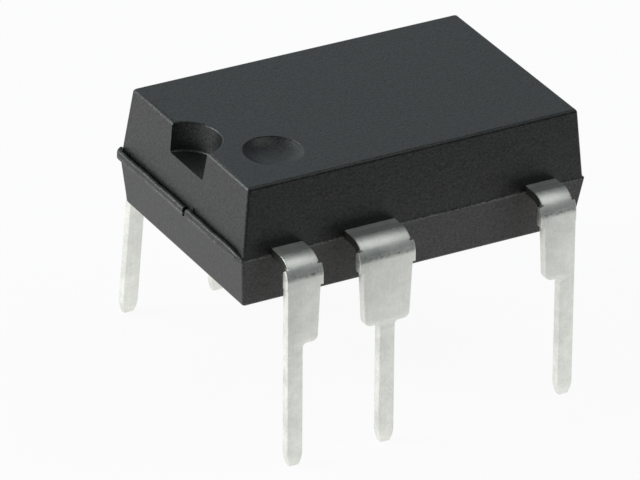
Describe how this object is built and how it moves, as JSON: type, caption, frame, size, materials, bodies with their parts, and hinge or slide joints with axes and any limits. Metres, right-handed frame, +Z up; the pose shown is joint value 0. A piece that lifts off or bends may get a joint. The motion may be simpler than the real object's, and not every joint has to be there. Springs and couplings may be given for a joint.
{
  "type": "dip integrated circuit chip",
  "caption": "Eight-position dual in-line integrated circuit with seven tin-plated leads: position 3 has no lead. Black moulded body with an end notch, a round pin 1 mark and a parting lip at the notched end.",
  "frame": {"origin": "middle of the package at the level of the lead tips", "axes": "+Z up out of the marked top face, X along the body with the notched end at -X, Y across the two rows with pins 1, 2 and 4 at -Y and pins 5 to 8 at +Y"},
  "size_m": [0.0097, 0.0084, 0.007],
  "materials": {
    "moulded_body": "matte",
    "tinned_lead": "satin",
    "die_attach": "satin",
    "silicon": "polished",
    "bond_wire": "polished"
  },
  "bodies": {
    "root": {"moulded_body": "moulded_body", "source_frame": "tinned_lead", "lead_1": "tinned_lead", "lead_2": "tinned_lead", "lead_4": "tinned_lead", "die_attach": "die_attach", "silicon_die": "silicon", "wire_to_lead_1": "bond_wire", "wire_to_lead_2": "bond_wire", "wire_a_to_lead_4": "bond_wire", "wire_b_to_lead_4": "bond_wire", "wire_a_to_frame": "bond_wire", "wire_b_to_frame": "bond_wire"}
  },
  "joints": []
}
